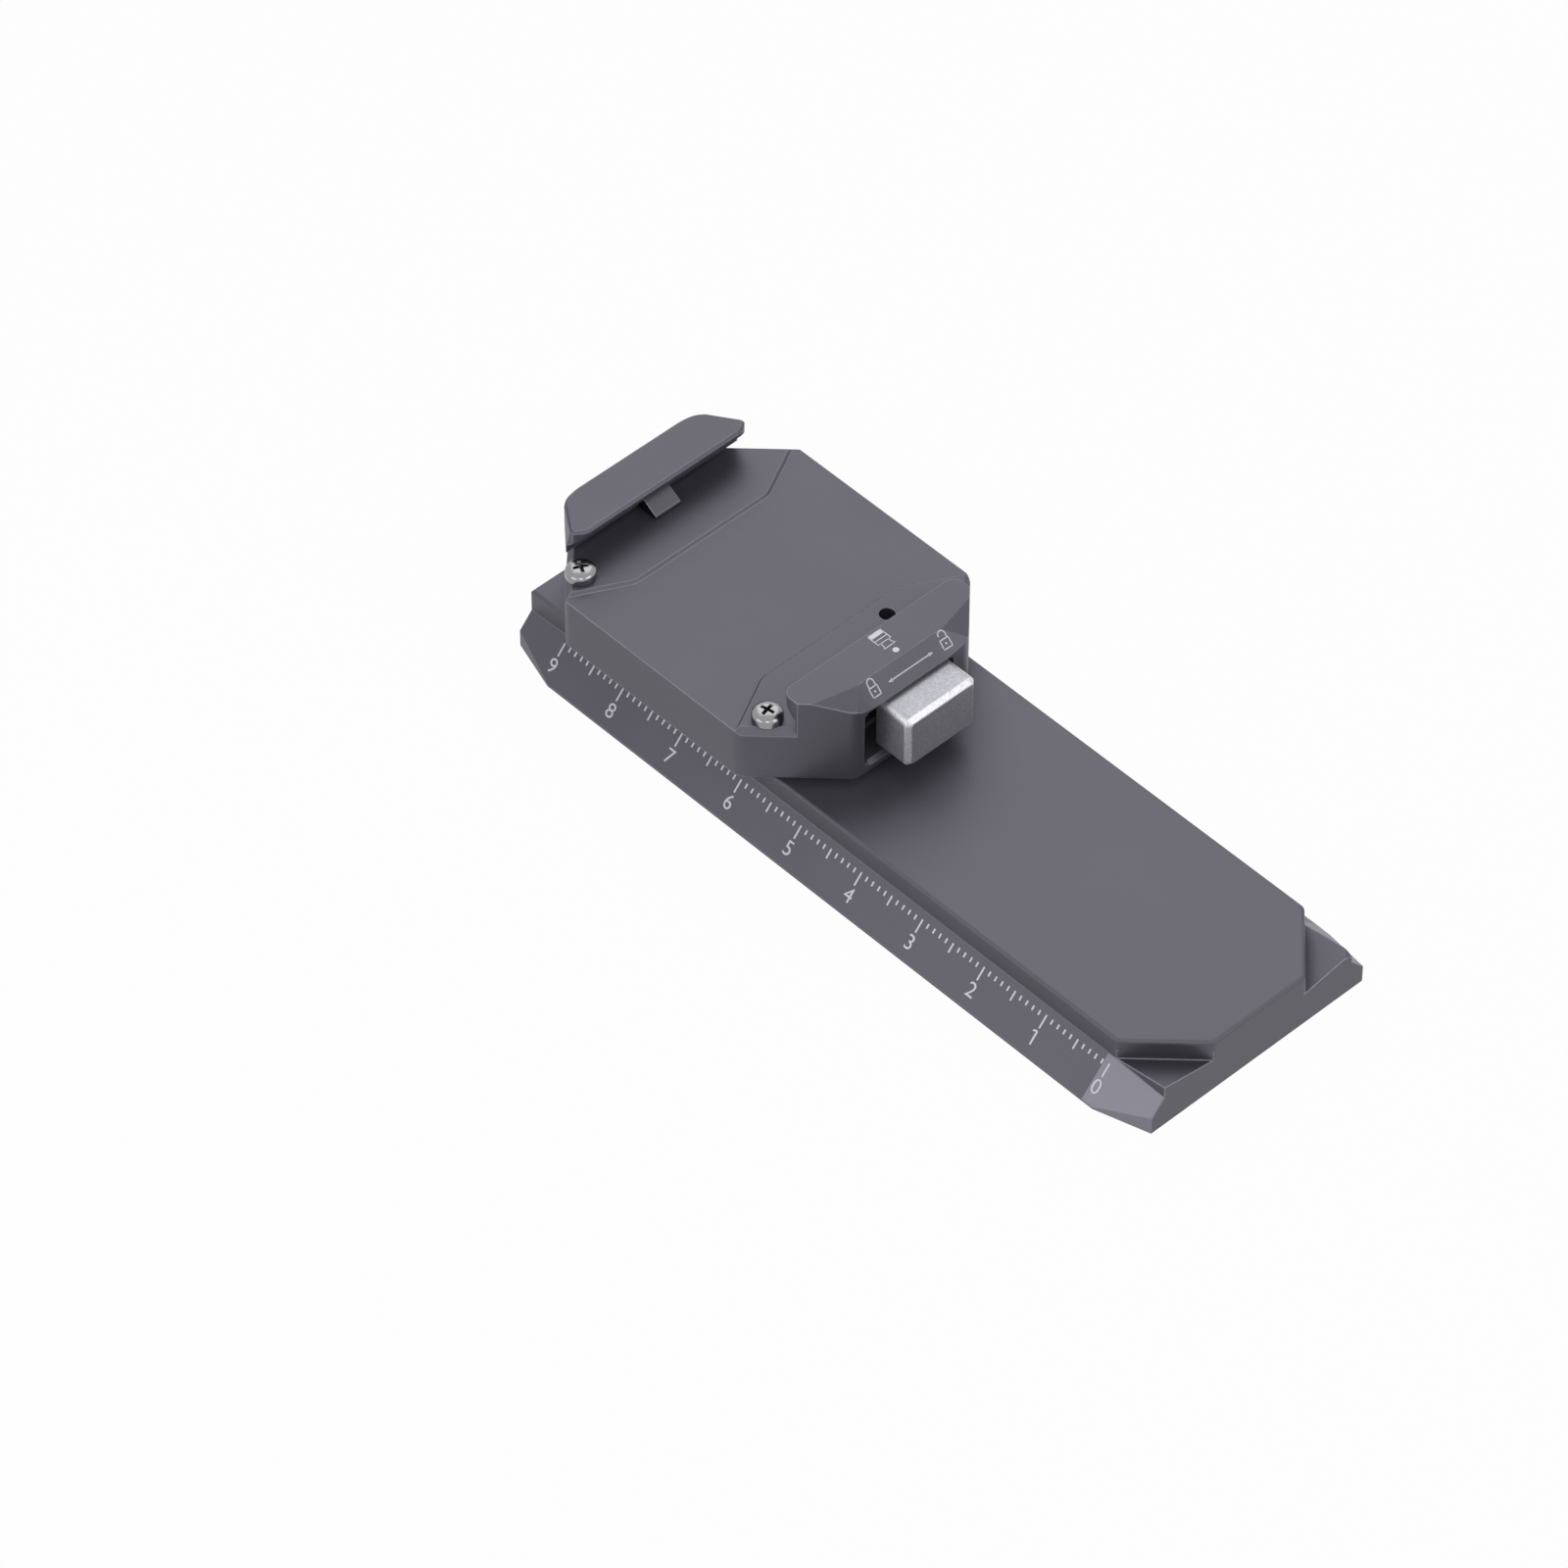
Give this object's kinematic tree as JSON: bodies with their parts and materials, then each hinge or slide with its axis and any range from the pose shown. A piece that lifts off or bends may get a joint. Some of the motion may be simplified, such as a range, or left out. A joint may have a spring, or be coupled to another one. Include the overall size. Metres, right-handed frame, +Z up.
{
  "type": "tripod quick release plate",
  "caption": "Long dovetail plate with a millimetre scale, carrying an eight-sided quick-release clamp with a fixed jaw, a sprung moving jaw and a locking push button.",
  "frame": {"origin": "middle of the plate's underside", "axes": "+X along the plate, from the clamp to the zero end of the scale; +Y across the plate, away from the scale; +Z up, from the plate to the clamp"},
  "size_m": [0.1046, 0.038, 0.021],
  "materials": {
    "grey_anodised": "satin bead-blasted, anodised grey with a slight violet cast",
    "plain_aluminium": "milled, plain",
    "silver_aluminium": "fine bead-blasted, silver",
    "steel": "polished",
    "dark_steel": "black oxide",
    "spring_steel": "drawn wire"
  },
  "bodies": {
    "housing": {"base_plate": "grey_anodised", "clamp_body": "grey_anodised", "bottom_cover": "grey_anodised", "cover_screws": "steel", "clamp_screws": "dark_steel", "stop_screws": "steel", "guide_rods": "steel", "jaw_spring_left": "spring_steel", "jaw_spring_right": "spring_steel"},
    "jaw": {"moving_jaw": "grey_anodised", "jaw_carriage": "plain_aluminium", "jaw_screws": "steel", "pin_grub_screw": "steel", "pin_spring": "spring_steel", "detent_plunger": "steel", "detent_spring": "spring_steel"},
    "button": {"release_button": "silver_aluminium", "button_slider": "steel", "button_screw": "steel"},
    "pin": {"locating_pin": "steel"}
  },
  "joints": [
    {"name": "jaw_slide", "type": "slide", "parent": "housing", "child": "jaw", "axis": [-1, 0, 0], "range_m": [0, 0.003], "stiffness_N_per_m": 800, "springref_m": -0.01, "deforming": ["jaw_spring_left", "jaw_spring_right"]},
    {"name": "lock_slide", "type": "slide", "parent": "jaw", "child": "button", "axis": [0, -1, 0], "range_m": [0, 0.0026]},
    {"name": "pin_slide", "type": "slide", "parent": "jaw", "child": "pin", "axis": [-1, 0, 0], "range_m": [0, 0.0005], "stiffness_N_per_m": 600, "springref_m": -0.0015, "deforming": ["pin_spring"]}
  ]
}
